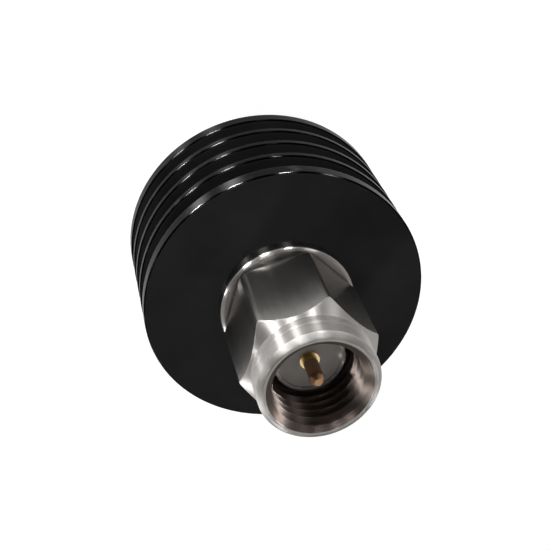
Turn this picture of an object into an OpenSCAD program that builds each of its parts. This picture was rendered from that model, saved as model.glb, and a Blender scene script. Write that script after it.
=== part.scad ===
// Fixed coaxial attenuator: a finned heat sink with a screw-on plug at the top and a threaded jack at
// the bottom. It stands on the end face of the jack, at z = 0. +Z runs along the axis, towards the plug.
// All sizes are in millimetres.

/* [Heat sink] */
// Diameter over the fins
sink_d = 19; // [17:0.5:25]
// Length from the rear face to the front face
sink_len = 9.5; // [8:0.5:16]
// Number of fins, with the two end fins
fin_count = 5; // [3:1:6]
// Thickness of the fins between the two end fins
fin_t = 0.55; // [0.45:0.05:0.8]
// Thickness of the two end fins
end_fin_t = 1; // [0.7:0.05:1.3]
// Bevel along both edges of every fin
fin_bevel = 0.12; // [0.05:0.01:0.2]
// Diameter at the foot of the fins
core_d = 12.4; // [11:0.2:14]
// Bore that takes the two stems and the chip clamp
sink_bore_d = 7; // [6.6:0.1:8]

/* [Coaxial line] */
// Diameter of the insulating beads
bead_d = 4.1; // [3.9:0.05:4.15]
// Diameter of the inner conductors
conductor_d = 1.27; // [1.2:0.01:1.4]
// Diameter of the flange that seats a connector on the heat sink
flange_d = 9.1; // [8.4:0.1:10.5]
// Thickness of that flange
flange_t = 0.9; // [0.7:0.1:1.2]
// Rounding of the flange's outer edge
flange_round = 0.25; // [0.1:0.05:0.3]
// Depth of a connector's stem in the heat sink
stem_len = 2.5; // [2:0.1:3]
// Counterbore in the stem, for the collar of the bead
collar_d = 5; // [4.6:0.1:5.4]
// Depth of that counterbore
collar_pocket = 1.5; // [1.2:0.1:1.8]
// Thickness of the bead's collar
collar_t = 0.8; // [0.5:0.1:1]
// Diameter of the conductor's stop, inside the bead's end
stop_d = 1.9; // [1.6:0.1:2.4]
// Thickness of that stop
stop_t = 0.25; // [0.2:0.05:0.35]

/* [Jack] */
// Length of the jack outside the heat sink, with its flange
jack_len = 9.5; // [8.5:0.1:12]
// Outside diameter of the 1/4-36 thread
thread_d = 6.35; // [6.2:0.01:6.4]
// Bevel at the start of the jack's thread
thread_bevel = 0.4; // [0.2:0.05:0.5]
// Depth from the jack's end face to its reference plane
recess_depth = 1.95; // [1.9:0.01:2]
// Radial room for a mating plug in that recess
recess_clearance = 0.025; // [0.01:0.005:0.05]
// Hole of the socket contact
socket_d = 0.96; // [0.94:0.01:1]
// Depth of the socket's hole
socket_depth = 2.9; // [2.6:0.1:3.5]
// Number of spring fingers on the socket
finger_count = 4; // [2:2:6]
// Width of the slots between the fingers
finger_slot_w = 0.15; // [0.1:0.01:0.18]
// Length of those slots
finger_slot_len = 2.4; // [2:0.1:2.8]
// Radial room in the bead for the fingers to spread
finger_room = 0.12; // [0.05:0.01:0.2]

/* [Plug] */
// Distance from the heat sink's face to the plug's reference plane
plug_reach = 7.05; // [6.9:0.05:8.5]
// Outside diameter of the barrel's front end
barrel_d = 4.6; // [4.55:0.01:4.62]
// Bevel at the barrel's end
barrel_bevel = 0.08; // [0.04:0.01:0.12]
// Diameter of the neck that the nut turns on
neck_d = 5.4; // [5.2:0.1:5.5]
// Length of that neck, from the flange
neck_len = 3.5; // [3.2:0.1:3.8]
// Diameter of the centre pin
pin_d = 0.93; // [0.9:0.01:0.94]
// Length of the pin ahead of the reference plane
pin_len = 2.3; // [2:0.05:2.54]
// Diameter of the flat on the pin's tip
pin_tip_d = 0.5; // [0.2:0.05:0.6]
// Length of the taper to the tip
pin_taper = 0.4; // [0.2:0.05:0.6]
// How far the bead's end stands back from the reference plane
bead_set_back = 0.15; // [0.05:0.05:0.25]

/* [Coupling nut] */
// Hexagon across flats
nut_af = 7.94; // [7.9:0.01:8.2]
// Whole length of the nut
nut_len = 8.7; // [8.2:0.1:10]
// Gap between the flange and the nut, at its lowest
nut_gap = 0.35; // [0.2:0.05:0.5]
// Length of the hexagon, up to the collar
hex_len = 6.6; // [5:0.1:7]
// Axial length of the cone that trims the hexagon's front corners
hex_trim = 1.05; // [0.5:0.05:1.2]
// Bevel that trims the hexagon's rear corners
hex_rear_trim = 0.2; // [0.1:0.05:0.5]
// Diameter of the round collar
nut_collar_d = 7.7; // [7.5:0.02:7.9]
// Diameter of the nut's front face
rim_d = 7.24; // [7:0.02:7.5]
// Axial length of the cone from the collar to that face
rim_bevel = 0.25; // [0.15:0.05:0.5]
// Radial room between the threads of a nut and a jack
thread_clearance = 0.05; // [0.03:0.01:0.08]
// Bevel at the mouth of the thread
mouth_bevel = 0.12; // [0.04:0.01:0.16]
// Length of the nut's rear wall, that turns on the neck
nut_wall_len = 2.65; // [2.5:0.05:2.8]
// Radial running clearance of the nut on the neck
nut_clearance = 0.05; // [0.02:0.01:0.08]
// How far the nut can float along the neck
nut_float = 0.3; // [0.1:0.05:0.4]

/* [Retaining ring] */
// Thickness of the open ring
ring_t = 0.5; // [0.4:0.05:0.6]
// Diameter at the floor of the groove in the neck
neck_groove_d = 4.7; // [4.6:0.05:4.8]
// Diameter at the floor of the groove in the nut
nut_groove_d = 6.6; // [6.4:0.05:6.8]
// Height of the ring above the nut's rear face
ring_height = 1.05; // [0.9:0.05:1.2]
// Room round the ring in both grooves
ring_clearance = 0.05; // [0.03:0.01:0.08]
// Opening in the ring, in degrees
ring_opening = 40; // [25:5:70]

/* [Chip and clamp] */
// Width of the ceramic card
chip_w = 4.8; // [4.2:0.1:4.8]
// Thickness of the card
chip_t = 0.5; // [0.4:0.05:0.6]
// Length of card that stands out of each end of the clamp
chip_overhang = 0.4; // [0.3:0.05:0.5]
// Length of card held in each forked conductor
chip_grip = 0.5; // [0.4:0.05:0.7]
// Diameter of the air channel along the card
channel_d = 3.2; // [2.8:0.1:3.4]
// Room round the clamp and round the card's edges
clamp_clearance = 0.02; // [0.01:0.01:0.04]

/* [Hidden] */
$fn = 96;
// Overlap of a cutting shape past the surface that it cuts
cut = 0.1;
black = [0.05, 0.05, 0.055];
steel = [0.78, 0.77, 0.75];
gold = [0.83, 0.62, 0.27];
brass = [0.76, 0.63, 0.36];
white = [0.93, 0.92, 0.89];
ceramic = [0.88, 0.86, 0.8];

// Heights of the heat sink's two faces, of the clamp and of the card
rear_z = jack_len;
face_z = rear_z + sink_len;
clamp_z0 = rear_z + stem_len;
clamp_z1 = face_z - stem_len;
chip_z0 = clamp_z0 - chip_overhang;
chip_z1 = clamp_z1 + chip_overhang;
groove_w = (sink_len - 2 * end_fin_t - (fin_count - 2) * fin_t) / (fin_count - 1);

// Reference planes, where the outer conductor and the contact end together
jack_ref_z = recess_depth;
plug_ref_z = face_z + plug_reach;
recess_d = barrel_d + 2 * recess_clearance;

// Heights of the plug's neck, nut and retaining ring
neck_z0 = face_z + flange_t;
neck_z1 = neck_z0 + neck_len;
nut_z0 = neck_z0 + nut_gap;
nut_z1 = nut_z0 + nut_len;
ring_z0 = nut_z0 + ring_height;
ring_z1 = ring_z0 + ring_t;
nut_thread_d = thread_d + 2 * thread_clearance;
nut_bore_d = neck_d + 2 * nut_clearance;
hex_corner_d = nut_af / cos(30);

// A solid of revolution from [radius, height] points
module turned(points) {
    rotate_extrude()
        polygon(points);
}

// A round hole from z0 to z1 that runs past both ends by the cutting overlap
module hole(d, z0, z1) {
    translate([0, 0, z0 - cut])
        cylinder(h = z1 - z0 + 2 * cut, d = d);
}

// A plain disc or rod from z0 to z1
module rod(d, z0, z1) {
    translate([0, 0, z0])
        cylinder(h = z1 - z0, d = d);
}

// One fin of thickness t, bevelled on both edges, with its lower side at z
module fin(z, t) {
    r = sink_d / 2;
    turned([
        [0, z],
        [r - fin_bevel, z],
        [r, z + fin_bevel],
        [r, z + t - fin_bevel],
        [r - fin_bevel, z + t],
        [0, z + t]
    ]);
}

// The heat sink is turned from one bar: fins on a core, with a bore right through
module heat_sink() {
    color(black)
        difference() {
            union() {
                rod(core_d, rear_z, face_z);
                fin(rear_z, end_fin_t);
                for (i = [0 : fin_count - 3])
                    fin(rear_z + end_fin_t + groove_w + i * (fin_t + groove_w), fin_t);
                fin(face_z - end_fin_t, end_fin_t);
            }
            hole(sink_bore_d, rear_z, face_z);
        }
}

// The flange of a connector, with its seat at z and its rounded edge away from the heat sink
module flange(z, up) {
    r = flange_d / 2;
    translate([0, 0, z])
        mirror([0, 0, up ? 0 : 1])
            rotate_extrude()
                union() {
                    square([r - flange_round, flange_t]);
                    square([r, flange_t - flange_round]);
                    translate([r - flange_round, flange_t - flange_round])
                        circle(flange_round);
                }
}

// The jack's outer conductor: threaded barrel, flange and stem
module jack_body() {
    r = thread_d / 2;
    color(steel)
        difference() {
            union() {
                turned([
                    [0, 0],
                    [r - thread_bevel, 0],
                    [r, thread_bevel],
                    [r, clamp_z0],
                    [0, clamp_z0]
                ]);
                flange(rear_z, false);
                rod(sink_bore_d, rear_z, clamp_z0);
            }
            hole(recess_d, -cut, jack_ref_z - cut);
            hole(bead_d, jack_ref_z, clamp_z0);
            hole(collar_d, clamp_z0 - collar_pocket + cut, clamp_z0);
        }
}

// The jack's bead, held by its collar between the stem and the clamp
module jack_bead() {
    collar_z = clamp_z0 - collar_pocket;
    color(white)
        difference() {
            union() {
                rod(bead_d, jack_ref_z, collar_z + collar_t);
                rod(collar_d, collar_z, collar_z + collar_t);
            }
            hole(conductor_d, jack_ref_z, collar_z + collar_t);
            hole(conductor_d + 2 * finger_room, jack_ref_z, jack_ref_z + finger_slot_len);
        }
}

// A slot across a conductor's end, that grips the card; the slot runs from z0 to z1
module fork_slot(z0, z1) {
    translate([-stop_d, -chip_t / 2, z0])
        cube([2 * stop_d, chip_t, z1 - z0]);
}

// The jack's contact: a slotted socket at one end and a forked grip on the card at the other
module jack_contact() {
    stop_z = clamp_z0 - collar_pocket + collar_t;
    color(gold)
        difference() {
            union() {
                rod(conductor_d, jack_ref_z, chip_z0 + chip_grip);
                rod(stop_d, stop_z, stop_z + stop_t);
            }
            hole(socket_d, jack_ref_z - cut, jack_ref_z + socket_depth - cut);
            for (i = [0 : finger_count / 2 - 1])
                rotate([0, 0, i * 360 / finger_count])
                    translate([-conductor_d, -finger_slot_w / 2, jack_ref_z - cut])
                        cube([2 * conductor_d, finger_slot_w, finger_slot_len + cut]);
            fork_slot(chip_z0, chip_z0 + chip_grip + cut);
        }
}

// One half of the brass clamp: half a rod with a pocket for the card and an air channel
module clamp_half() {
    r = sink_bore_d / 2 - clamp_clearance;
    pocket_w = chip_w + 2 * clamp_clearance;
    difference() {
        rod(2 * r, clamp_z0, clamp_z1);
        translate([-r - cut, -2 * r, clamp_z0 - cut])
            cube([2 * (r + cut), 2 * r, clamp_z1 - clamp_z0 + 2 * cut]);
        translate([-pocket_w / 2, -cut, clamp_z0 - cut])
            cube([pocket_w, chip_t / 2 + cut, clamp_z1 - clamp_z0 + 2 * cut]);
        hole(channel_d, clamp_z0, clamp_z1);
    }
}

// The clamp's half towards -Y
module clamp_front() {
    color(brass)
        rotate([0, 0, 180])
            clamp_half();
}

// The clamp's half towards +Y
module clamp_back() {
    color(brass)
        clamp_half();
}

// The ceramic card that carries the resistor film
module attenuator_chip() {
    color(ceramic)
        translate([-chip_w / 2, -chip_t / 2, chip_z0])
            cube([chip_w, chip_t, chip_z1 - chip_z0]);
}

// The plug's outer conductor: stem, flange, neck with the ring's groove, and barrel
module plug_body() {
    color(steel)
        difference() {
            union() {
                rod(sink_bore_d, clamp_z1, face_z);
                flange(face_z, true);
                rod(neck_d, clamp_z1, neck_z1);
                turned([
                    [0, clamp_z1],
                    [barrel_d / 2, clamp_z1],
                    [barrel_d / 2, plug_ref_z - barrel_bevel],
                    [barrel_d / 2 - barrel_bevel, plug_ref_z],
                    [0, plug_ref_z]
                ]);
            }
            hole(bead_d, clamp_z1, plug_ref_z);
            hole(collar_d, clamp_z1, clamp_z1 + collar_pocket - cut);
            difference() {
                rod(neck_d + 2 * cut, ring_z0 - ring_clearance, ring_z1 + nut_float + ring_clearance);
                rod(neck_groove_d, ring_z0 - ring_t, ring_z1 + nut_float + ring_t);
            }
        }
}

// The plug's bead, held by its collar between the stem and the clamp
module plug_bead() {
    collar_z = clamp_z1 + collar_pocket;
    color(white)
        difference() {
            union() {
                rod(bead_d, collar_z - collar_t, plug_ref_z - bead_set_back);
                rod(collar_d, collar_z - collar_t, collar_z);
            }
            hole(conductor_d, collar_z - collar_t, plug_ref_z);
        }
}

// The plug's inner conductor: centre pin with a tapered tip, stop, and a forked grip on the card
module plug_pin() {
    fork_z = chip_z1 - chip_grip;
    tip_z = plug_ref_z + pin_len;
    stop_z = clamp_z1 + collar_pocket - collar_t;
    color(gold)
        difference() {
            union() {
                rod(conductor_d, fork_z, plug_ref_z);
                rod(stop_d, stop_z - stop_t, stop_z);
                turned([
                    [0, fork_z],
                    [pin_d / 2, fork_z],
                    [pin_d / 2, tip_z - pin_taper],
                    [pin_tip_d / 2, tip_z],
                    [0, tip_z]
                ]);
            }
            fork_slot(fork_z - cut, chip_z1);
        }
}

// The open spring ring that sits in the grooves of the neck and the nut
module retaining_ring() {
    inner_d = neck_groove_d + 2 * ring_clearance;
    outer_d = nut_groove_d - 2 * ring_clearance;
    color(steel)
        translate([0, 0, ring_z0])
            rotate([0, 0, ring_opening / 2])
                rotate_extrude(angle = 360 - ring_opening)
                    translate([inner_d / 2, 0])
                        square([(outer_d - inner_d) / 2, ring_t]);
}

// The outside of the nut before it is bored: hexagon with trimmed corners, collar and front bevel
module nut_blank() {
    corner = hex_corner_d / 2;
    collar_r = nut_collar_d / 2;
    hex_z1 = nut_z0 + hex_len;
    intersection() {
        union() {
            rotate([0, 0, 30])
                translate([0, 0, nut_z0])
                    cylinder(h = hex_len, d = hex_corner_d, $fn = 6);
            rod(nut_collar_d, nut_z0, nut_z1);
        }
        turned([
            [0, nut_z0],
            [corner - hex_rear_trim, nut_z0],
            [corner, nut_z0 + hex_rear_trim],
            [corner, hex_z1 - hex_trim],
            [collar_r, hex_z1],
            [collar_r, nut_z1 - rim_bevel],
            [rim_d / 2, nut_z1],
            [0, nut_z1]
        ]);
    }
}

// The coupling nut: it turns on the neck, carries the ring's groove and opens into the thread
module coupling_nut() {
    wall_z1 = nut_z0 + nut_wall_len;
    mouth_r = nut_thread_d / 2;
    color(steel)
        difference() {
            nut_blank();
            hole(nut_bore_d, nut_z0, wall_z1);
            rod(nut_groove_d, ring_z0 - ring_clearance, ring_z1 + ring_clearance);
            hole(nut_thread_d, wall_z1 + cut, nut_z1);
            turned([
                [0, nut_z1 - mouth_bevel],
                [mouth_r, nut_z1 - mouth_bevel],
                [mouth_r + mouth_bevel + cut, nut_z1 + cut],
                [0, nut_z1 + cut]
            ]);
        }
}

heat_sink();
jack_body();
jack_bead();
jack_contact();
clamp_front();
clamp_back();
attenuator_chip();
plug_body();
plug_bead();
plug_pin();
retaining_ring();
coupling_nut();
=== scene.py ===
import math

import bpy
import numpy as np
from mathutils import Matrix, Vector


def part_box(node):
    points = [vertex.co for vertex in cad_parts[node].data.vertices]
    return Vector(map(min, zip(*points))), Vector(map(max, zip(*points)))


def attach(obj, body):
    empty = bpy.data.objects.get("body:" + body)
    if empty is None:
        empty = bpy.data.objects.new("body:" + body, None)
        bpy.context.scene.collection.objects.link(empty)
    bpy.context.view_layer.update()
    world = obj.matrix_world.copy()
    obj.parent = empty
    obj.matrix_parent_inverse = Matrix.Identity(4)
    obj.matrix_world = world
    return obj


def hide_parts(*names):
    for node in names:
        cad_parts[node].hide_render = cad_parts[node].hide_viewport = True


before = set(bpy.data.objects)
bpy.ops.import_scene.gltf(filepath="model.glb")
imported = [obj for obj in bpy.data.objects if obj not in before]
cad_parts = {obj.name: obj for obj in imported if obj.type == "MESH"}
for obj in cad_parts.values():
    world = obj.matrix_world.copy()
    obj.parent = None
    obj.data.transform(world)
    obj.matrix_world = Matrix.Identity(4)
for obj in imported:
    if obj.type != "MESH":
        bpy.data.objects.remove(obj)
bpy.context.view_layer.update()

# Heat sink
# A short aluminium bar, turned on a lathe into five round fins on a core and anodised black all over.
# The anodising is thin on the sharp rims of the fins, where bare metal shows in small worn patches.
# Along a few lines at fixed azimuths the rims are painted as bright bare metal: painted glints.
MM = 0.001


def box_mm(name):
    """Lowest and highest corner of a CAD node at rest, in mm."""
    return np.round(np.array(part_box(name)) / MM, 4)


sink_low, sink_high = box_mm("heat_sink")
sink_r = sink_high[0]
sink_rear = sink_low[2]
sink_front = sink_high[2]
core_r = 6.2
sink_bore_r = 3.5
fin_t = 0.55
end_fin_t = 1.0
fin_thick = np.array([end_fin_t, fin_t, fin_t, fin_t, end_fin_t])
fin_count = len(fin_thick)
groove_w = (sink_front - sink_rear - fin_thick.sum()) / (fin_count - 1)
fin_edge = 0.13
groove_fillet = 0.3
plain_edge = 0.05
sink_cols = 256

arc_steps = 5
corner_rows = arc_steps + 2


def softened(corners, reach):
    """Rounds the corners of a closed profile. corners has the shape (corner, column, 2): radius and height.
    Each corner becomes a parabola that leaves one side and meets the next at the distance reach from the
    corner, or nearer on a short side, with one holding point before it and one after it. Returns the points,
    corner_rows for each corner, and how far round its corner each of them is, 0 to 1 to 0."""
    most_of_side = 0.42
    hold_gap = 0.04
    hold_share = 0.06
    back = np.roll(corners, 1, 0) - corners
    on = np.roll(corners, -1, 0) - corners
    back_len = np.linalg.norm(back, axis=2, keepdims=True)
    on_len = np.linalg.norm(on, axis=2, keepdims=True)
    short = np.minimum(back_len, on_len)
    cut = np.minimum(np.asarray(reach, float)[:, None, None], most_of_side * short)
    hold = cut + np.minimum(hold_gap, hold_share * short)
    back = back / back_len
    on = on / on_len
    s = np.linspace(0, 1, arc_steps)[None, :, None, None]
    first = (corners + back * cut)[:, None]
    last = (corners + on * cut)[:, None]
    arc = (1 - s) ** 2 * first + 2 * s * (1 - s) * corners[:, None] + s ** 2 * last
    points = np.concatenate([(corners + back * hold)[:, None], arc, (corners + on * hold)[:, None]], 1)
    turn = np.concatenate([[0], 4 * s.ravel() * (1 - s.ravel()), [0]])
    return points.reshape(-1, *corners.shape[1:]), np.tile(turn, len(corners))


def turned(name, profile, **marks):
    """Carries a closed profile round the axis: a point is (radius cos a, radius sin a, height), and both the
    profile and the circle close on themselves. profile is (point, column, 2) in mm. marks are point
    attributes, one value for each point of the profile, or one for each point and column."""
    rows, cols = profile.shape[:2]
    a = np.arange(cols) * 2 * np.pi / cols
    r, z = profile[..., 0], profile[..., 1]
    points = np.stack([r * np.cos(a), r * np.sin(a), z], -1).reshape(-1, 3) * MM
    i, j = np.meshgrid(np.arange(rows), np.arange(cols), indexing="ij")
    i1, j1 = (i + 1) % rows, (j + 1) % cols
    quads = np.stack([i * cols + j, i * cols + j1, i1 * cols + j1, i1 * cols + j], -1).reshape(-1, 4)
    mesh = bpy.data.meshes.new(name)
    mesh.vertices.add(len(points))
    mesh.vertices.foreach_set("co", points.ravel())
    mesh.loops.add(quads.size)
    mesh.loops.foreach_set("vertex_index", quads.ravel())
    mesh.polygons.add(len(quads))
    mesh.polygons.foreach_set("loop_start", np.arange(len(quads)) * 4)
    mesh.update(calc_edges=True)
    mesh.polygons.foreach_set("use_smooth", np.ones(len(quads), bool))
    for mark, value in marks.items():
        value = np.broadcast_to(value if np.ndim(value) == 2 else np.asarray(value)[:, None], (rows, cols))
        layer = mesh.attributes.new(mark, "FLOAT", "POINT")
        layer.data.foreach_set("value", value.ravel().astype(np.float32))
    piece = bpy.data.objects.new(name, mesh)
    bpy.context.scene.collection.objects.link(piece)
    return piece


def new_group(name, inputs, outputs):
    """Starts a shader node group with number inputs (name, value) and the named outputs."""
    group = bpy.data.node_groups.new(name, "ShaderNodeTree")
    for label, value in inputs:
        socket = group.interface.new_socket(label, in_out="INPUT", socket_type="NodeSocketFloat")
        socket.default_value = value
    for label in outputs:
        group.interface.new_socket(label, in_out="OUTPUT", socket_type="NodeSocketFloat")
    return group, group.nodes.new("NodeGroupInput").outputs, group.nodes.new("NodeGroupOutput").inputs


def node(tree, kind, links=(), **settings):
    """Adds one shader node, sets its properties, and joins or sets its inputs by name or number."""
    made = tree.nodes.new("ShaderNode" + kind)
    for key, value in settings.items():
        setattr(made, key, value)
    for key, value in dict(links).items():
        if isinstance(value, bpy.types.NodeSocket):
            tree.links.new(value, made.inputs[key])
        else:
            made.inputs[key].default_value = value
    return made


def math_node(tree, operation, *values):
    """One calculation on numbers or sockets."""
    return node(tree, "Math", enumerate(values), operation=operation).outputs[0]


def vector_node(tree, operation, *values):
    """One calculation on vectors that gives a vector."""
    return node(tree, "VectorMath", enumerate(values), operation=operation).outputs[0]


def noise(tree, place, per_mm, detail, roughness=0.5):
    """Noise in space, 0 to 1, with per_mm lumps in each unit of place."""
    made = node(tree, "TexNoise", {"Vector": place, "Scale": per_mm, "Detail": detail,
                                   "Roughness": roughness})
    return made.outputs["Fac"]


def ring_noise(tree, along, per_mm, detail, roughness=0.5):
    """Noise along a line, 0 to 1, with per_mm lumps in each unit of along."""
    made = node(tree, "TexNoise", {"W": along, "Scale": per_mm, "Detail": detail,
                                   "Roughness": roughness}, noise_dimensions="1D")
    return made.outputs["Fac"]


def attribute(tree, name):
    """A point attribute of the piece, as a number."""
    return node(tree, "Attribute", attribute_name=name).outputs["Fac"]


def place_mm(tree):
    """The place on the piece, from its own Object coordinates, in mm."""
    own_place = node(tree, "TexCoord").outputs["Object"]
    return node(tree, "VectorMath", {0: own_place, "Scale": 1 / MM}, operation="SCALE").outputs[0]


def ramp_value(tree, value, low, high, to_low=0.0, to_high=1.0):
    """Smoothly maps a value from the range low to high on to to_low to to_high."""
    made = node(tree, "MapRange", {"Value": value, "From Min": low, "From Max": high, "To Min": to_low,
                                   "To Max": to_high}, interpolation_type="SMOOTHSTEP")
    return made.outputs["Result"]


def value_mix(tree, factor, low, high):
    """Goes from one number to another as factor goes from 0 to 1."""
    return node(tree, "Mix", {0: factor, 2: low, 3: high}).outputs[0]


# Lathe marks: fine rings that follow radius plus height, so they circle both a face and a barrel
drifts_per_mm = 0.6
bands_per_mm = 1.7
lathe_marks, given, put = new_group("lathe_marks", [("Rings per mm", 12.0), ("Waver", 0.02)],
                                    ["Height", "Band"])
place = place_mm(lathe_marks)
flat_place = vector_node(lathe_marks, "MULTIPLY", place, (1, 1, 0))
radius = node(lathe_marks, "VectorMath", {0: flat_place}, operation="LENGTH").outputs["Value"]
height = node(lathe_marks, "SeparateXYZ", {0: place}).outputs["Z"]
drift = noise(lathe_marks, place, drifts_per_mm, detail=2.0)
drift = math_node(lathe_marks, "MULTIPLY", drift, given["Waver"])
along = math_node(lathe_marks, "ADD", math_node(lathe_marks, "ADD", radius, height), drift)
ring_count = math_node(lathe_marks, "MULTIPLY", along, given["Rings per mm"])
fine = ring_noise(lathe_marks, ring_count, 1.0, detail=3.0, roughness=0.6)
broad = ring_noise(lathe_marks, along, bands_per_mm, detail=1.0)
lathe_marks.links.new(fine, put["Height"])
lathe_marks.links.new(broad, put["Band"])

# Edge wear: the piece's own edge mark, broken up by noise so that the wear comes and goes along an edge
noise_middle = 0.5
wear_starts = 0.05
wear_full = 0.5
edge_wear, given, put = new_group("edge_wear", [("Edge", 0.0), ("Patches per mm", 0.8), ("Amount", 0.5)],
                                  ["Mask"])
patches = noise(edge_wear, place_mm(edge_wear), given["Patches per mm"], detail=5.0, roughness=0.65)
worn = math_node(edge_wear, "SUBTRACT", math_node(edge_wear, "ADD", patches, given["Amount"]), noise_middle)
worn = ramp_value(edge_wear, worn, wear_starts, wear_full)
edge_wear.links.new(math_node(edge_wear, "MULTIPLY", given["Edge"], worn), put["Mask"])

# Mottle: slow cloudy changes and fine grain of a finish, 0 to 1
noise_low = 0.3
noise_high = 0.7
mottle, given, put = new_group("mottle", [("Clouds per mm", 0.25), ("Grains per mm", 9.0),
                                          ("Grain share", 0.3)], ["Value"])
place = place_mm(mottle)
clouds = noise(mottle, place, given["Clouds per mm"], detail=3.0)
grains = noise(mottle, place, given["Grains per mm"], detail=2.0)
mixed = value_mix(mottle, given["Grain share"], clouds, grains)
mottle.links.new(ramp_value(mottle, mixed, noise_low, noise_high), put["Value"])


def new_finish(name):
    """Starts a material and returns it with its node tree and its shader."""
    made = bpy.data.materials.new(name)
    made.use_nodes = True
    return made, made.node_tree, made.node_tree.nodes["Principled BSDF"]


def place_group(tree, group, **values):
    """Puts a node group into a material, with its own values for the inputs named with underscores."""
    made = node(tree, "Group", node_tree=group)
    for key, value in values.items():
        made.inputs[key.replace("_", " ")].default_value = value
    return made


def bump(tree, shader, height, depth):
    """Turns a height into relief on the shader. depth is the relief's depth in mm."""
    made = node(tree, "Bump", {"Height": height, "Distance": depth * MM})
    tree.links.new(made.outputs["Normal"], shader.inputs["Normal"])


def colour_mix(tree, factor, low, high):
    """Goes from one colour to another, each a plain colour or a socket, as factor goes from 0 to 1."""
    made = node(tree, "Mix", data_type="RGBA")
    tree.links.new(factor, made.inputs[0])
    for socket, colour in ((made.inputs[6], low), (made.inputs[7], high)):
        if isinstance(colour, bpy.types.NodeSocket):
            tree.links.new(colour, socket)
        else:
            socket.default_value = (*colour, 1)
    return made.outputs[2]


# Black anodising: matt on the faces, and on the rims a thin dark skin that shines only at a glancing angle
dye_dark = (0.0148, 0.0149, 0.0158)
dye_pale = (0.0225, 0.0225, 0.0237)
rim_skin = (0.001, 0.001, 0.0012)
rim_bare_and_glint = (0.12, 0.12, 0.124)
rim_glance = (0.66, 0.66, 0.66, 1)
rim_rough = 0.18
face_rough = (0.5, 0.6)
along_the_rings = 0.25
anodised, tree, shader = new_finish("black_anodised")
shader.inputs["Specular IOR Level"].default_value = 0.01
shader.inputs["Specular Tint"].default_value = rim_glance
shader.inputs["Anisotropic"].default_value = 1.0
shader.inputs["Anisotropic Rotation"].default_value = along_the_rings
cloud = place_group(tree, mottle, Clouds_per_mm=0.22, Grains_per_mm=14.0, Grain_share=0.35)
rings = place_group(tree, lathe_marks, Rings_per_mm=9.0, Waver=0.03)
wear = place_group(tree, edge_wear, Edge=1.0, Patches_per_mm=0.7, Amount=0.02)
rim_mark = attribute(tree, "rim")
# Bright bare metal on the rims: small worn patches, and painted glints along a few lines
wear_and_painted_glints = math_node(tree, "MAXIMUM", wear.outputs["Mask"], attribute(tree, "rubbed"))
dye = colour_mix(tree, cloud.outputs["Value"], dye_dark, dye_pale)
rim_metal = colour_mix(tree, wear_and_painted_glints, rim_skin, rim_bare_and_glint)
tree.links.new(colour_mix(tree, rim_mark, dye, rim_metal), shader.inputs["Base Color"])
tree.links.new(rim_mark, shader.inputs["Metallic"])
matt = ramp_value(tree, cloud.outputs["Value"], 0.0, 1.0, *face_rough)
tree.links.new(value_mix(tree, rim_mark, matt, rim_rough), shader.inputs["Roughness"])
bump(tree, shader, rings.outputs["Height"], depth=0.0025)

# Profile of the sink, from the bore at the rear, over the fins to the front and back through the bore
fin_foot = sink_rear + np.cumsum(fin_thick + groove_w) - fin_thick - groove_w
fin_heights = np.stack([fin_foot, fin_foot, fin_foot + fin_thick, fin_foot + fin_thick], -1).ravel()[1:-1]
fin_radii = np.tile([core_r, sink_r, sink_r, core_r], fin_count)[1:-1]
fin_corners = np.stack([fin_radii, fin_heights], -1)
sink_corners = np.concatenate([[[sink_bore_r, sink_rear]], fin_corners, [[sink_bore_r, sink_front]]])
on_rim = np.isclose(sink_corners[:, 0], sink_r)
on_core = np.isclose(sink_corners[:, 0], core_r)
sink_reach = np.where(on_rim, fin_edge, np.where(on_core, groove_fillet, plain_edge))
profile, _ = softened(np.repeat(sink_corners[:, None], sink_cols, 1), sink_reach)

# Rims: the thin skin covers the outer part of their rounding. Along a few lines it is painted as bright
# bare metal: painted glints.
rim_share = 0.6
front_edge_share = 0.8
last_groove = sink_front - end_fin_t - groove_w / 2
inner_fin_glint = 0.35
across_azimuths = (-39.5, -54)
front_azimuth = -75
faint_azimuth = -92.5
broad_glint = 3.5
narrow_glint = 3.0
faint_glint = 0.7
rim_rows = profile[:, 0, 0] > sink_r - rim_share * fin_edge
fin_glint = np.where(profile[:, 0, 1] > last_groove, 1.0, inner_fin_glint)
front_edge = profile[:, 0, 1] > sink_front - front_edge_share * fin_edge
sink_azimuth = np.arange(sink_cols) * 360 / sink_cols


def painted_glint_line(azimuth, width):
    """A line along the axis at one azimuth, 1 in its middle, that fades to both sides as a bell curve.
    Azimuth and width are in degrees."""
    away = (sink_azimuth - azimuth + 180) % 360 - 180
    return np.exp(-(away / width) ** 2)


# Painted glints: broad lines across the rims, strongest on the front fin, and narrow ones on its front edge
glints_across_rims = sum(painted_glint_line(azimuth, broad_glint) for azimuth in across_azimuths)
glints_on_front_edge = painted_glint_line(front_azimuth, narrow_glint) + faint_glint * painted_glint_line(faint_azimuth, narrow_glint)
rubbed = rim_rows[:, None] * (fin_glint[:, None] * glints_across_rims + front_edge[:, None] * glints_on_front_edge)
heat_sink = turned("heat_sink_fins", profile, rim=rim_rows, rubbed=np.clip(rubbed, 0, 1))
heat_sink.data.materials.append(anodised)
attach(heat_sink, "attenuator")
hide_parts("heat_sink")

# Chip and clamp
# The attenuator itself is a ceramic card with a dark resistor film, clamped between two half rods of brass
# in the bore of the heat sink, which carries its warmth to the fins.
brass_dark = (0.56, 0.37, 0.13)
brass_pale = (0.68, 0.48, 0.19)
brass_rough = (0.22, 0.4)
brass, tree, shader = new_finish("clamp_brass")
shader.inputs["Metallic"].default_value = 1.0
cloud = place_group(tree, mottle, Clouds_per_mm=0.5)
rings = place_group(tree, lathe_marks, Rings_per_mm=7.0)
tree.links.new(colour_mix(tree, cloud.outputs["Value"], brass_dark, brass_pale), shader.inputs["Base Color"])
tree.links.new(ramp_value(tree, rings.outputs["Band"], 0.0, 1.0, *brass_rough), shader.inputs["Roughness"])
bump(tree, shader, rings.outputs["Height"], depth=0.003)

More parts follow.
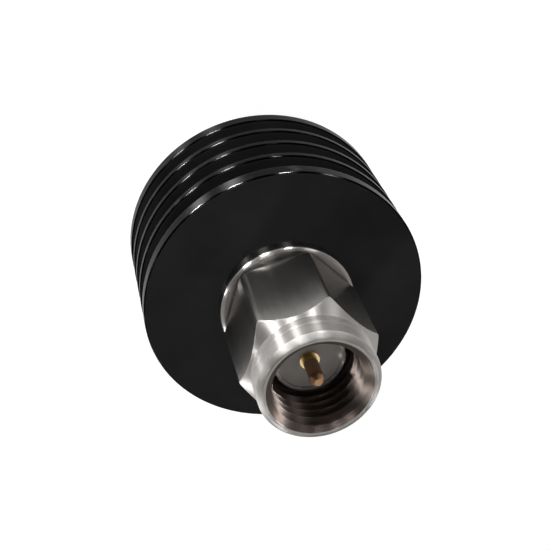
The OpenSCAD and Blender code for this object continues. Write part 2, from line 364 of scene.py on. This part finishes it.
film_half_w = 1.0
film_fade = 0.06
film_colour = (0.05, 0.06, 0.055)
card_dark = (0.72, 0.7, 0.65)
card_pale = (0.84, 0.82, 0.78)
card_rough = (0.35, 0.55)
ceramic, tree, shader = new_finish("ceramic_card")
cloud = place_group(tree, mottle, Clouds_per_mm=0.6, Grains_per_mm=20.0)
across = math_node(tree, "ABSOLUTE", node(tree, "SeparateXYZ", {0: place_mm(tree)}).outputs["X"])
film = ramp_value(tree, across, film_half_w, film_half_w + film_fade, 1.0, 0.0)
card = colour_mix(tree, cloud.outputs["Value"], card_dark, card_pale)
tree.links.new(colour_mix(tree, film, card, film_colour), shader.inputs["Base Color"])
tree.links.new(ramp_value(tree, cloud.outputs["Value"], 0.0, 1.0, *card_rough), shader.inputs["Roughness"])


def dress(name, finish):
    """Gives a CAD node that keeps its own shape its finish."""
    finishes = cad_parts[name].data.materials
    finishes.clear()
    finishes.append(finish)


dress("clamp_front", brass)
dress("clamp_back", brass)
dress("attenuator_chip", ceramic)

# Jack
# The outer conductor of the female end: a stainless barrel with a fine outside thread, a flange that seats
# it on the heat sink and a stem pressed into the bore. Body and thread are cut from bar on the lathe.
jack_low, jack_high = box_mm("jack_body")
jack_face = jack_low[2]
jack_stem_end = jack_high[2]
flange_r = jack_high[0]
flange_t = 0.9
flange_round = 0.25
jack_flange_back = sink_rear - flange_t
jack_r = 3.175
jack_bevel = 0.4
jack_root_r = 2.75
barrel_r = 2.3
recess_clearance = 0.025
recess_r = barrel_r + recess_clearance
recess_depth = 1.95
bead_r = 2.05
bead_collar_r = 2.5
collar_pocket = 1.5
bevel_edge = 0.1
foot_fillet = 0.08
hidden_edge = 0.03
jack_cols = 192

inch = 25.4
threads_per_inch = 36
thread_pitch = inch / threads_per_inch
crest_flat = 0.14
root_flat = 0.22
run_out = 0.5
thread_lead = 0.15
thread_relief = 0.55
jack_thread_start = jack_face + jack_bevel + thread_lead
jack_thread_end = jack_flange_back - thread_relief
jack_thread_rows = 214
hair = 0.01


def ridge(turns, crest, root):
    """One thread form along a helix: 1 on the flat crest, 0 on the flat root and straight flanks between.
    turns counts pitches. crest and root are the flats' shares of one pitch."""
    away = np.abs((turns % 1.0) - 0.5) * 2
    return np.clip((1 - root - away) / (1 - root - crest), 0, 1)


def straight_wall(r, start, end, rows, cols):
    """Rows of points along a plain wall of one radius, at even heights from start to end."""
    heights = np.linspace(start, end, rows)
    return np.repeat(np.stack([np.full(rows, r), heights], -1)[:, None], cols, 1)


def row_of(corner, step):
    """The row of a softened profile at a step of a corner: 0 before it, 1 to 5 go round, 6 after it."""
    return corner * corner_rows + step


def dot_product(tree, one, other):
    """How far two directions agree, as a number."""
    return node(tree, "VectorMath", {0: one, 1: other}, operation="DOT_PRODUCT").outputs["Value"]


# Polished steel: turned parts have rings, drawn flats fine lengthwise lines, edges a soft bright wear.
# The bore of the nut is painted a darker colour: painted shade.
steel_dark = (0.385, 0.366, 0.35)
steel_pale = (0.45, 0.434, 0.42)
steel_worn = (0.52, 0.505, 0.49)
steel_painted_shade_in_bore = (0.155, 0.127, 0.113)
turned_rough = (0.22, 0.28)
flat_rough = (0.13, 0.15)
edge_rough = 0.68
bore_rough = 0.58
band_range = (0.2, 0.8)
lines_across = 14.0
lines_along = 0.3
mark_depth = 0.0012
steel, tree, shader = new_finish("polished_steel")
shader.inputs["Metallic"].default_value = 1.0
shader.inputs["Anisotropic"].default_value = 1.0
shader.inputs["Anisotropic Rotation"].default_value = along_the_rings
cloud = place_group(tree, mottle, Clouds_per_mm=0.35, Grains_per_mm=11.0, Grain_share=0.3)
rings = place_group(tree, lathe_marks, Rings_per_mm=11.0, Waver=0.02)
wear = place_group(tree, edge_wear, Patches_per_mm=1.2, Amount=0.6)
edge_mark = attribute(tree, "edge")
flat_mark = attribute(tree, "drawn_flat")
bore_mark = attribute(tree, "bore")
tree.links.new(edge_mark, wear.inputs["Edge"])
stretched = vector_node(tree, "MULTIPLY", place_mm(tree), (lines_across, lines_across, lines_along))
draw_lines = noise(tree, stretched, 1.0, detail=3.0)
metal = colour_mix(tree, cloud.outputs["Value"], steel_dark, steel_pale)
# Painted shade: the bore of the nut is coloured darker than the rest of the steel
metal = colour_mix(tree, bore_mark, metal, steel_painted_shade_in_bore)
tree.links.new(colour_mix(tree, wear.outputs["Mask"], metal, steel_worn), shader.inputs["Base Color"])
turned_gloss = ramp_value(tree, rings.outputs["Band"], *band_range, *turned_rough)
flat_gloss = ramp_value(tree, draw_lines, noise_low, noise_high, *flat_rough)
gloss = value_mix(tree, flat_mark, turned_gloss, flat_gloss)
gloss = value_mix(tree, edge_mark, gloss, edge_rough)
tree.links.new(value_mix(tree, bore_mark, gloss, bore_rough), shader.inputs["Roughness"])
relief = value_mix(tree, flat_mark, rings.outputs["Height"], draw_lines)
relief = value_mix(tree, edge_mark, relief, noise_middle)

# The finish leans a little where a piece is marked askew: flats lean down on the side away from lean_to,
# round parts lean up on the side of lean_to and down on the other
lean_to = (0.866, 0.5, 0.0)
down_lean = 0.2
round_lean = 0.12
own_facing = node(tree, "TexCoord").outputs["Normal"]
facing = node(tree, "NewGeometry").outputs["Normal"]
side = dot_product(tree, own_facing, lean_to)
on_round = math_node(tree, "MULTIPLY", math_node(tree, "SUBTRACT", 1.0, flat_mark), round_lean)
lean = math_node(tree, "ADD", math_node(tree, "MULTIPLY", math_node(tree, "MINIMUM", side, 0.0), down_lean),
                 math_node(tree, "MULTIPLY", side, on_round))
lean = math_node(tree, "MULTIPLY", lean, attribute(tree, "askew"))
leaning = vector_node(tree, "ADD", facing, node(tree, "CombineXYZ", {"Z": lean}).outputs[0])
leaning = vector_node(tree, "NORMALIZE", leaning)
marked = node(tree, "Bump", {"Height": relief, "Distance": mark_depth * MM, "Normal": leaning})
tree.links.new(marked.outputs["Normal"], shader.inputs["Normal"])

# Outline of the jack: radius, height and rounding of each corner, from mouth to outside to bore
jack_outline = np.array([
    (recess_r, jack_face, plain_edge),
    (jack_r - jack_bevel, jack_face, plain_edge),
    (jack_r, jack_face + jack_bevel, bevel_edge),
    (jack_r, jack_flange_back, foot_fillet),
    (flange_r, jack_flange_back, flange_round),
    (flange_r, sink_rear, hidden_edge),
    (sink_bore_r, sink_rear, hidden_edge),
    (sink_bore_r, jack_stem_end, plain_edge),
    (bead_collar_r, jack_stem_end, hidden_edge),
    (bead_collar_r, jack_stem_end - collar_pocket, hidden_edge),
    (bead_r, jack_stem_end - collar_pocket, hidden_edge),
    (bead_r, jack_face + recess_depth, hidden_edge),
    (recess_r, jack_face + recess_depth, hidden_edge)])
profile, turn = softened(np.repeat(jack_outline[:, None, :2], jack_cols, 1), jack_outline[:, 2])

# The thread goes into the outline below the foot of the flange, as a helical cut that runs out at its end
foot_row = row_of(3, 0)
thread = straight_wall(jack_r, jack_thread_start, jack_thread_end, jack_thread_rows, jack_cols)
profile = np.concatenate([profile[:foot_row], thread, profile[foot_row:]])
turn = np.concatenate([turn[:foot_row], np.zeros(jack_thread_rows), turn[foot_row:]])
r, z = profile[..., 0], profile[..., 1]
form = ridge(z / thread_pitch - np.arange(jack_cols) / jack_cols, crest_flat, root_flat)
cut = (jack_r - jack_root_r) * (1 - form) * np.clip((jack_thread_end - z) / run_out, 0, 1)
start_cone = jack_r - jack_bevel + z - jack_face
threaded = (r > jack_r - hair) & (z < jack_thread_end + hair)
profile[..., 0] = np.where(threaded, np.minimum(r - cut, start_cone), r)
jack_shell = turned("jack_threaded_body", profile, edge=turn)
jack_shell.data.materials.append(steel)
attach(jack_shell, "attenuator")
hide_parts("jack_body")

# Beads
# White fluoropolymer insulators, machined from rod, that hold the inner conductors in the middle of both
# ends. The stuff is a little waxy and lets some light in. Its colour is a grey off-white, painted darker
# than white as painted shade deep in the connectors.
bead_painted_shade_dark = (0.56, 0.52, 0.49)
bead_painted_shade_pale = (0.64, 0.6, 0.57)
bead_rough = (0.42, 0.58)
light_reach = (0.6 * MM, 0.6 * MM, 0.5 * MM)
ptfe, tree, shader = new_finish("ptfe")
shader.inputs["Subsurface Weight"].default_value = 0.15
shader.inputs["Subsurface Radius"].default_value = light_reach
shader.inputs["Subsurface Scale"].default_value = 1.0
cloud = place_group(tree, mottle, Clouds_per_mm=0.7, Grains_per_mm=12.0, Grain_share=0.4)
rings = place_group(tree, lathe_marks, Rings_per_mm=6.0, Waver=0.05)
# Painted shade: the white beads are coloured grey
tree.links.new(colour_mix(tree, cloud.outputs["Value"], bead_painted_shade_dark, bead_painted_shade_pale), shader.inputs["Base Color"])
tree.links.new(ramp_value(tree, cloud.outputs["Value"], 0.0, 1.0, *bead_rough), shader.inputs["Roughness"])
bump(tree, shader, rings.outputs["Height"], depth=0.004)
dress("jack_bead", ptfe)
dress("plug_bead", ptfe)

# Contacts
# The socket of the jack, slotted into four spring fingers, and the pin of the plug: copper alloy, turned to
# size and plated with gold. The shaft and the tip of the pin are coloured a dull coppery brown: painted
# shade on the shaft and a dull orange painted reflection on the tip.
plug_low, plug_high = box_mm("plug_body")
plug_stem_end = plug_low[2]
plug_face = plug_high[2]
pin_tip = box_mm("plug_pin")[1][2]
gold_dark = (0.76, 0.58, 0.29)
gold_pale = (0.85, 0.68, 0.38)
shaft_painted_shade = (0.4, 0.235, 0.135)
tip_painted_reflection = (0.42, 0.25, 0.14)
gold_rough = (0.18, 0.3)
tip_rough = 0.5
tip_fade = (0.5, 0.15)
shaft_fade = (0.05, 0.45)
gold, tree, shader = new_finish("gold_plate")
shader.inputs["Metallic"].default_value = 1.0
cloud = place_group(tree, mottle, Clouds_per_mm=1.2, Grains_per_mm=16.0, Grain_share=0.35)
rings = place_group(tree, lathe_marks, Rings_per_mm=14.0, Waver=0.02)
plated = colour_mix(tree, cloud.outputs["Value"], gold_dark, gold_pale)
height = node(tree, "SeparateXYZ", {0: place_mm(tree)}).outputs["Z"]
at_tip = ramp_value(tree, height, pin_tip - tip_fade[0], pin_tip - tip_fade[1])
on_shaft = ramp_value(tree, height, plug_face + shaft_fade[0], plug_face + shaft_fade[1])
# Painted shade on the shaft and a dull orange painted reflection on the tip, in a coppery brown
plated = colour_mix(tree, on_shaft, plated, shaft_painted_shade)
tree.links.new(colour_mix(tree, at_tip, plated, tip_painted_reflection), shader.inputs["Base Color"])
gloss = ramp_value(tree, rings.outputs["Band"], *band_range, *gold_rough)
tree.links.new(value_mix(tree, at_tip, gloss, tip_rough), shader.inputs["Roughness"])
bump(tree, shader, rings.outputs["Height"], depth=0.002)
dress("jack_contact", gold)
dress("plug_pin", gold)

# Plug body and retaining ring
# The outer conductor of the male end: stem, bright round-edged flange on the heat sink, a neck for the nut
# and the thin barrel that meets the jack. An open spring ring in a groove of the neck holds the nut.
ring_low, ring_high = box_mm("retaining_ring")
ring_clearance = 0.05
nut_float = 0.3
plug_flange_front = sink_front + flange_t
neck_r = 2.7
neck_len = 3.5
neck_top = plug_flange_front + neck_len
neck_groove_r = 2.35
groove_rear = ring_low[2] - ring_clearance
groove_front = ring_high[2] + ring_clearance
neck_groove_front = groove_front + nut_float
neck_fillet = 0.1
neck_edge = 0.08
barrel_edge = 0.07
flange_edge_wear = 0.3
plug_cols = 192

# Outline of the plug: radius, height and rounding of each corner, from stem to outside to bore
plug_outline = np.array([
    (bead_collar_r, plug_stem_end, hidden_edge),
    (sink_bore_r, plug_stem_end, plain_edge),
    (sink_bore_r, sink_front, hidden_edge),
    (flange_r, sink_front, hidden_edge),
    (flange_r, plug_flange_front, flange_round),
    (neck_r, plug_flange_front, neck_fillet),
    (neck_r, groove_rear, hidden_edge),
    (neck_groove_r, groove_rear, hidden_edge),
    (neck_groove_r, neck_groove_front, hidden_edge),
    (neck_r, neck_groove_front, hidden_edge),
    (neck_r, neck_top, neck_edge),
    (barrel_r, neck_top, plain_edge),
    (barrel_r, plug_face, barrel_edge),
    (bead_r, plug_face, hidden_edge),
    (bead_r, plug_stem_end + collar_pocket, hidden_edge),
    (bead_collar_r, plug_stem_end + collar_pocket, hidden_edge)])
flange_foot, flange_top = 3, 4
profile, turn = softened(np.repeat(plug_outline[:, None, :2], plug_cols, 1), plug_outline[:, 2])
flange_wall = np.zeros(len(profile))
flange_wall[row_of(flange_foot, 3):row_of(flange_top, 4)] = 1
on_flange = np.repeat(np.isclose(plug_outline[:, 0], flange_r), corner_rows)
flange_edge = flange_edge_wear * turn * on_flange
plug_shell = turned("plug_turned_body", profile, edge=flange_edge, drawn_flat=flange_wall)
plug_shell.data.materials.append(steel)
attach(plug_shell, "attenuator")
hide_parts("plug_body")
dress("retaining_ring", steel)

# Coupling nut
# Drawn hexagon bar of stainless steel, turned down to a round collar at its mouth, corners trimmed by a cone
# at both ends of the hexagon, bored and threaded inside. It turns freely on the neck.
nut_low, nut_high = box_mm("coupling_nut")
half_flats = nut_high[0]
nut_rear = nut_low[2]
nut_front = nut_high[2]
flat_count = 6
nut_corner_r = half_flats / math.cos(math.pi / flat_count)
hex_len = 6.6
hex_front = nut_rear + hex_len
rear_trim = 0.2
least_rear_trim = 0.05
front_trim = 1.05
collar_r = 3.85
rim_r = 3.62
rim_bevel = 0.25
mouth_bevel = 0.12
nut_clearance = 0.05
nut_bore_r = neck_r + nut_clearance
nut_wall_len = 2.65
nut_wall_top = nut_rear + nut_wall_len
nut_groove_r = 3.3
thread_clearance = 0.05
nut_thread_r = jack_r + thread_clearance
nut_crest_r = 2.83
mouth_gap = 0.08
wall_gap = 0.12
run_out_gap = 0.2
nut_thread_rows = 170
rear_bore_edge = 0.08
trim_foot_edge = 0.025
trim_top_edge = 0.04
bevel_foot_edge = 0.14
bevel_top_edge = 0.13
mouth_inner_edge = 0.02
nut_cols = 240

# Radius of the hexagon all round: a high power mean of its six flats, which rounds the corners a little
corner_power = 70
nut_azimuth = np.arange(nut_cols) * 2 * np.pi / nut_cols
flat_azimuth = np.arange(flat_count) * 2 * np.pi / flat_count
to_flats = np.clip(np.cos(nut_azimuth[:, None] - flat_azimuth), 0, None)
hex_r = half_flats / (to_flats ** corner_power).sum(1) ** (1 / corner_power)
rear_r = np.minimum(hex_r - least_rear_trim, nut_corner_r - rear_trim)
trim_z = hex_front - front_trim * (hex_r - collar_r) / (nut_corner_r - collar_r)

# Outline of the nut: radius, height and rounding of each corner, from rear bore to outside to thread
nut_outline = [
    (nut_bore_r, nut_rear, rear_bore_edge),
    (rear_r, nut_rear, hidden_edge),
    (hex_r, nut_rear + hex_r - rear_r, hidden_edge),
    (hex_r, trim_z, trim_foot_edge),
    (collar_r, hex_front, trim_top_edge),
    (collar_r, nut_front - rim_bevel, bevel_foot_edge),
    (rim_r, nut_front, bevel_top_edge),
    (nut_thread_r + mouth_bevel, nut_front, hidden_edge),
    (nut_thread_r, nut_front - mouth_bevel, mouth_inner_edge),
    (nut_thread_r, nut_wall_top, plain_edge),
    (nut_bore_r, nut_wall_top, hidden_edge),
    (nut_bore_r, groove_front, hidden_edge),
    (nut_groove_r, groove_front, hidden_edge),
    (nut_groove_r, groove_rear, hidden_edge),
    (nut_bore_r, groove_rear, hidden_edge)]
rear_edge, trim_foot, trim_top, bevel_foot, bevel_top, mouth_edge, wall_foot = 1, 3, 4, 5, 6, 7, 9


def all_round(value):
    """One value for each column of the nut, from a number or from a row of them."""
    return np.broadcast_to(value, nut_cols)


nut_corners = np.stack([np.stack([all_round(r), all_round(z)], -1) for r, z, _ in nut_outline])
profile, _ = softened(nut_corners, [rounding for _, _, rounding in nut_outline])

# The inside thread, as helical ridges that start in the mouth's bevel and run out before the wall's foot
nut_thread_start = nut_front - mouth_bevel - mouth_gap
thread = straight_wall(nut_thread_r, nut_thread_start, nut_wall_top + wall_gap, nut_thread_rows, nut_cols)
z = thread[..., 1]
form = ridge(z / thread_pitch - np.arange(nut_cols) / nut_cols, crest_flat, root_flat)
rise = (nut_thread_r - nut_crest_r) * form * np.clip((z - nut_wall_top - run_out_gap) / run_out, 0, 1)
lead_in = nut_thread_r + mouth_bevel - (nut_front - z)
thread[..., 0] = np.minimum(np.maximum(nut_thread_r - rise, lead_in), nut_thread_r)
wall_row = row_of(wall_foot, 0)
profile = np.concatenate([profile[:wall_row], thread, profile[wall_row:]])

# Marks of the nut: drawn flats, soft trims and rim, and the bore, which is painted darker as shade
trim_edge = 0.55
flat_rows = np.zeros(len(profile))
flat_rows[row_of(rear_edge, 4):row_of(trim_foot, 1)] = 1
edge_rows = np.zeros(len(profile))
edge_rows[row_of(trim_foot, 2):row_of(trim_top, 5)] = trim_edge
edge_rows[row_of(bevel_foot, 1):row_of(bevel_top, 6)] = 1
bore_rows = np.zeros(len(profile))
bore_rows[row_of(mouth_edge, 4):] = 1
coupling_nut = turned("coupling_nut_threaded", profile, edge=edge_rows, drawn_flat=flat_rows,
                      askew=1 - bore_rows, bore=bore_rows)
coupling_nut.data.materials.append(steel)
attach(coupling_nut, "nut")
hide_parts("coupling_nut")

# Floor and background
# A plain pale table under the part, white to the camera and in reflections, with the part's soft shadow on
# it. Round it stands a pale band at table height and dim walls, lighter at the back.
floor_half = 2.0
floor_grey = (0.5, 0.5, 0.5, 1)
floor_glow = 0.68
floor_mesh = bpy.data.meshes.new("floor")
floor_corners = [(x * floor_half, y * floor_half, 0) for x, y in ((-1, -1), (1, -1), (1, 1), (-1, 1))]
floor_mesh.from_pydata(floor_corners, [], [(0, 1, 2, 3)])
floor = bpy.data.objects.new("floor", floor_mesh)
bpy.context.scene.collection.objects.link(floor)
pale, tree, shader = new_finish("pale_floor")
shader.inputs["Base Color"].default_value = floor_grey
shader.inputs["Roughness"].default_value = 0.9
shader.inputs["Specular IOR Level"].default_value = 0.0
shader.inputs["Emission Color"].default_value = (1, 1, 1, 1)
ray = node(tree, "LightPath").outputs
seen = math_node(tree, "MAXIMUM", ray["Is Camera Ray"],
                 math_node(tree, "MAXIMUM", ray["Is Glossy Ray"], ray["Is Transmission Ray"]))
tree.links.new(math_node(tree, "MULTIPLY", seen, floor_glow), shader.inputs["Emission Strength"])
floor.data.materials.append(pale)

band_colour = (0.95, 0.905, 0.865)
band_top = (0.02, 0.36)
front_wall = (0.05, 0.051, 0.053)
back_wall = (0.5, 0.495, 0.485)
back_turn = (-0.4, 0.5)
back_direction = (-0.553, 0.833, 0.0)
world = bpy.data.worlds.new("studio")
bpy.context.scene.world = world
world.use_nodes = True
tree = world.node_tree
direction = node(tree, "TexCoord").outputs["Generated"]
upward = node(tree, "SeparateXYZ", {0: direction}).outputs["Z"]
low_down = ramp_value(tree, upward, *band_top, 1.0, 0.0)
to_back = dot_product(tree, direction, back_direction)
wall = colour_mix(tree, ramp_value(tree, to_back, *back_turn), front_wall, back_wall)
tree.links.new(colour_mix(tree, low_down, wall, band_colour), tree.nodes["Background"].inputs["Color"])

# Lights
# Four strip lamps low round the viewer's side draw the glints along the fins and the streaks on the nut.
# One high up, one on the right, one behind and a tiny one for the pin fill in the nut, and two narrow spots
# reach the thread inside its mouth from across the bore.
lamp_distance = 0.25
middle = Vector((0, 0, 0.016))


def direction_of(azimuth, elevation):
    """Unit vector at an azimuth and an elevation in degrees: (cos e cos a, cos e sin a, sin e)."""
    a, e = math.radians(azimuth), math.radians(elevation)
    return Vector((math.cos(a) * math.cos(e), math.sin(a) * math.cos(e), math.sin(e)))


def stand_lamp(lamp, target, azimuth, elevation):
    """Stands a lamp at lamp_distance from its target and turns it to face it. The angles are in degrees."""
    towards = direction_of(azimuth, elevation)
    stand = bpy.data.objects.new(lamp.name, lamp)
    bpy.context.scene.collection.objects.link(stand)
    stand.location = target + towards * lamp_distance
    stand.rotation_euler = towards.to_track_quat("Z", "Y").to_euler()


# Name, azimuth, elevation, width, height and power
for name, azimuth, elevation, width, tall, power in (
        ("strip_0", 17, 5, 0.03, 0.034, 0.15),
        ("strip_1", -27, 5, 0.035, 0.034, 0.55),
        ("strip_2", -54, 5, 0.035, 0.034, 0.5),
        ("strip_3", -85, 5, 0.03, 0.034, 0.3),
        ("high_lamp", -56, 76, 0.03, 0.03, 0.015),
        ("right_lamp", -118, 30, 0.06, 0.03, 0.08),
        ("pin_lamp", 123.6, 53.5, 0.012, 0.012, 0.0012),
        ("back_lamp", 71, 25, 0.03, 0.03, 0.2)):
    lamp = bpy.data.lights.new(name, "AREA")
    lamp.energy = power
    lamp.shape = "RECTANGLE"
    lamp.size = width
    lamp.size_y = tall
    stand_lamp(lamp, middle, azimuth, elevation)

# Name, azimuth, elevation, azimuth and height of the lit place on the thread, cone and power
lit_r = 3.1
for name, azimuth, elevation, wall_azimuth, wall_z, cone, power in (
        ("thread_spot_1", 36, 31, 178, 27.0, 0.5, 4.0),
        ("thread_spot_2", -165, 30, 26, 27.7, 0.45, 6.5)):
    spot = bpy.data.lights.new(name, "SPOT")
    spot.energy = power
    spot.spot_size = math.radians(cone)
    spot.spot_blend = 0.8
    spot.shadow_soft_size = 0.002
    on_wall = direction_of(wall_azimuth, 0) * lit_r + Vector((0, 0, wall_z))
    stand_lamp(spot, on_wall * MM, azimuth, elevation)

# Camera
# It looks down on the standing part from the plug's side, rolled so that the plug points to the lower right.
# It aims at a point of the sink's front face.
viewer_azimuth = -56.46
viewer_elevation = 57.2
roll = math.radians(-158.11)
aim = Vector((1.253, -1.857, sink_front)) * MM
camera_distance = 0.07258
look = -direction_of(viewer_azimuth, viewer_elevation)
right = look.cross(Vector((0, 0, 1))).normalized()
above = right.cross(look)
camera_up = above * math.cos(roll) + right * math.sin(roll)
camera_right = look.cross(camera_up)
camera_turn = Matrix((camera_right, camera_up, -look)).transposed().to_4x4()
camera = bpy.data.objects.new("camera", bpy.data.cameras.new("camera"))
bpy.context.scene.collection.objects.link(camera)
camera.data.lens = 72.144
camera.data.sensor_width = 36
camera.data.clip_start = 0.001
camera.matrix_world = Matrix.Translation(aim - look * camera_distance) @ camera_turn
bpy.context.scene.camera = camera
bpy.context.scene.view_settings.view_transform = "Standard"
